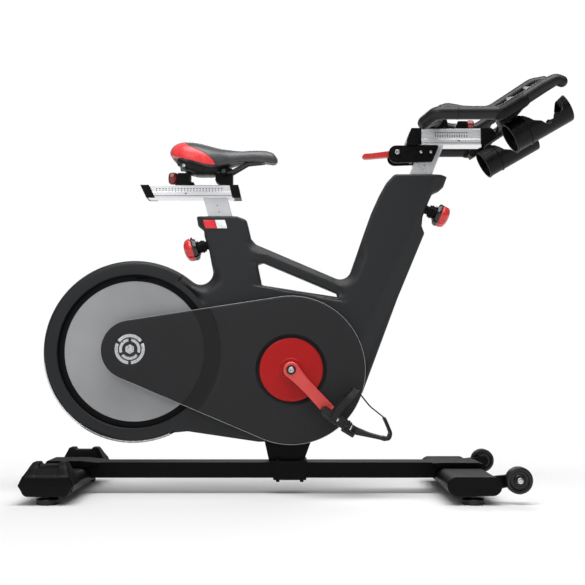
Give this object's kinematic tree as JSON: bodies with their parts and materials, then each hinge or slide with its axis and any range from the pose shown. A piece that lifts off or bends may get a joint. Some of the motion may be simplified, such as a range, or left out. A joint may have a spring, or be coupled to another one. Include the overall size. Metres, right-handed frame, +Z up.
{
  "type": "indoor spin bike",
  "caption": "Stationary indoor cycle with a rear flywheel, side belt guard, toe-cage pedals, sliding saddle and sliding handlebar on a wheeled base.",
  "frame": {"origin": "on the floor under the middle of the machine's length, on its centre plane", "axes": "+X forwards, towards the handlebar; +Y to the rider's left, away from the belt guard; +Z up"},
  "size_m": [1.4031, 0.516, 1.117],
  "materials": {
    "frame_paint": "satin dark grey powder coat",
    "fender_plastic": "satin moulded",
    "trim_silver": "bright",
    "guard_plastic": "fine grained moulding",
    "inner_plastic": "matt",
    "badge_silver": "printed silver",
    "badge_red": "gloss",
    "steel_dark": "blackened",
    "steel_bright": "machined",
    "base_paint": "satin black",
    "cap_plastic": "moulded black",
    "belt_rubber": "ribbed",
    "crank_red": "gloss red",
    "disc_red": "satin red",
    "pulley_black": "moulded",
    "pedal_black": "moulded",
    "cage_black": "moulded with webbing strap",
    "rim_black": "satin black",
    "disc_silver": "satin",
    "post_silver": "anodised",
    "rail_silver": "anodised, graduated",
    "saddle_steel": "black",
    "saddle_shell_plastic": "moulded",
    "saddle_vinyl": "soft vinyl, grey with red panels",
    "knob_dark_red": "moulded",
    "knob_red": "moulded",
    "lever_red": "moulded",
    "grip_rubber": "soft touch",
    "holder_plastic": "moulded",
    "wheel_rubber": "smooth",
    "foot_rubber": "smooth"
  },
  "bodies": {
    "frame": {"main_frame": "frame_paint", "flywheel_fender": "fender_plastic", "fender_trim": "trim_silver", "belt_guard_outer": "guard_plastic", "belt_guard_inner": "inner_plastic", "left_cover": "guard_plastic", "guard_badge": "badge_silver", "mast_badge": "badge_red", "post_sleeves": "inner_plastic", "pin_housings": "inner_plastic", "bottom_bracket_shell": "steel_dark", "bearings": "steel_bright", "pedestal": "base_paint", "base_tube": "base_paint", "rear_stabiliser": "base_paint", "front_stabiliser": "base_paint", "rear_end_caps": "cap_plastic", "front_end_caps": "cap_plastic", "drive_belt": "belt_rubber"},
    "crankset": {"crank_spindle": "steel_bright", "crank_arm_right": "crank_red", "crank_arm_left": "crank_red", "crank_disc": "disc_red", "crank_pulley": "pulley_black", "crank_bolts": "steel_bright", "pedal_axles": "steel_bright"},
    "pedal_right": {"pedal_body_right": "pedal_black", "toe_cage_right": "cage_black"},
    "pedal_left": {"pedal_body_left": "pedal_black", "toe_cage_left": "cage_black"},
    "flywheel": {"flywheel_rim": "rim_black", "flywheel_disc": "disc_silver", "flywheel_axle": "steel_bright", "flywheel_pulley": "pulley_black"},
    "magnet_arm": {"magnet_yoke": "steel_dark"},
    "seat_post": {"seat_post_tube": "post_silver", "seat_rail": "rail_silver", "seat_rail_caps": "cap_plastic"},
    "saddle": {"seat_slider": "cap_plastic", "saddle_rails": "saddle_steel", "saddle_shell": "saddle_shell_plastic", "saddle_cushion": "saddle_vinyl"},
    "seat_fore_aft_screw": {"seat_fore_aft_knob": "knob_dark_red"},
    "seat_height_pin": {"seat_height_knob": "knob_red"},
    "bar_height_pin": {"bar_height_knob": "knob_red"},
    "bar_post": {"bar_post_tube": "post_silver", "bar_rail": "rail_silver", "bar_rail_caps": "cap_plastic", "lever_bracket": "cap_plastic"},
    "lever": {"resistance_lever": "lever_red"},
    "handlebar": {"bar_slider": "cap_plastic", "handlebar": "grip_rubber", "bottle_holders": "holder_plastic"},
    "bar_fore_aft_screw": {"bar_fore_aft_knob": "knob_dark_red"},
    "wheel_right": {"transport_wheel_right": "wheel_rubber"},
    "wheel_left": {"transport_wheel_left": "wheel_rubber"},
    "level_rear_right": {"foot_rear_right": "foot_rubber"},
    "level_rear_left": {"foot_rear_left": "foot_rubber"},
    "level_front_right": {"foot_front_right": "foot_rubber"},
    "level_front_left": {"foot_front_left": "foot_rubber"}
  },
  "joints": [
    {"name": "flywheel_spin", "type": "hinge", "parent": "frame", "child": "flywheel", "pos_m": [-0.456, 0, 0.38], "axis": [0, 1, 0], "continuous": true},
    {"name": "crank_spin", "type": "hinge", "parent": "frame", "child": "crankset", "pos_m": [-0.03, 0, 0.33], "axis": [0, 1, 0], "continuous": true},
    {"name": "pedal_right_spin", "type": "hinge", "parent": "crankset", "child": "pedal_right", "pos_m": [0.08616, -0.125, 0.20587], "axis": [0, 1, 0], "continuous": true},
    {"name": "pedal_left_spin", "type": "hinge", "parent": "crankset", "child": "pedal_left", "pos_m": [-0.14616, 0.125, 0.45413], "axis": [0, 1, 0], "continuous": true},
    {"name": "seat_height", "type": "slide", "parent": "frame", "child": "seat_post", "axis": [-0.2756, 0, 0.9613], "range_m": [-0.04, 0.22]},
    {"name": "seat_fore_aft", "type": "slide", "parent": "seat_post", "child": "saddle", "axis": [1, 0, 0], "range_m": [-0.065, 0.012]},
    {"name": "seat_fore_aft_screw_turn", "type": "hinge", "parent": "saddle", "child": "seat_fore_aft_screw", "pos_m": [-0.3423, 0, 0.856], "axis": [-1, 0, 0], "range_deg": [-45, 180]},
    {"name": "seat_height_pin_pull", "type": "slide", "parent": "frame", "child": "seat_height_pin", "axis": [-0.9613, 0, -0.2756], "range_m": [0, 0.012], "stiffness_N_per_m": 800, "springref_m": -0.004},
    {"name": "bar_height", "type": "slide", "parent": "frame", "child": "bar_post", "axis": [0.3746, 0, 0.9272], "range_m": [-0.022, 0.17]},
    {"name": "bar_fore_aft", "type": "slide", "parent": "bar_post", "child": "handlebar", "axis": [1, 0, 0], "range_m": [-0.026, 0.018]},
    {"name": "bar_fore_aft_screw_turn", "type": "hinge", "parent": "handlebar", "child": "bar_fore_aft_screw", "pos_m": [0.4553, 0, 1.0062], "axis": [1, 0, 0], "range_deg": [-45, 180]},
    {"name": "bar_height_pin_pull", "type": "slide", "parent": "frame", "child": "bar_height_pin", "axis": [0.9272, 0, -0.3746], "range_m": [0, 0.012], "stiffness_N_per_m": 800, "springref_m": -0.004},
    {"name": "lever_swing", "type": "hinge", "parent": "bar_post", "child": "lever", "pos_m": [0.261, 0, 0.925], "axis": [0, 1, 0], "range_deg": [-10, 35]},
    {"name": "magnet_swing", "type": "hinge", "parent": "frame", "child": "magnet_arm", "pos_m": [-0.36947, 0, 0.59418], "axis": [0, 1, 0], "range_deg": [-3.5, 1]},
    {"name": "wheel_right_spin", "type": "hinge", "parent": "frame", "child": "wheel_right", "pos_m": [0.533, -0.238, 0.06], "axis": [0, 1, 0], "continuous": true},
    {"name": "wheel_left_spin", "type": "hinge", "parent": "frame", "child": "wheel_left", "pos_m": [0.533, 0.238, 0.06], "axis": [0, 1, 0], "continuous": true},
    {"name": "level_rear_right_turn", "type": "hinge", "parent": "frame", "child": "level_rear_right", "pos_m": [-0.633, -0.228, 0.02], "axis": [0, 0, 1], "continuous": true},
    {"name": "level_rear_left_turn", "type": "hinge", "parent": "frame", "child": "level_rear_left", "pos_m": [-0.633, 0.228, 0.02], "axis": [0, 0, 1], "continuous": true},
    {"name": "level_front_right_turn", "type": "hinge", "parent": "frame", "child": "level_front_right", "pos_m": [0.421, -0.228, 0.02], "axis": [0, 0, 1], "continuous": true},
    {"name": "level_front_left_turn", "type": "hinge", "parent": "frame", "child": "level_front_left", "pos_m": [0.421, 0.228, 0.02], "axis": [0, 0, 1], "continuous": true}
  ],
  "couplings": [
    {"joint": "crank_spin", "follows": "flywheel_spin", "ratio": 0.2},
    {"joint": "magnet_swing", "follows": "lever_swing", "ratio": -0.1}
  ]
}
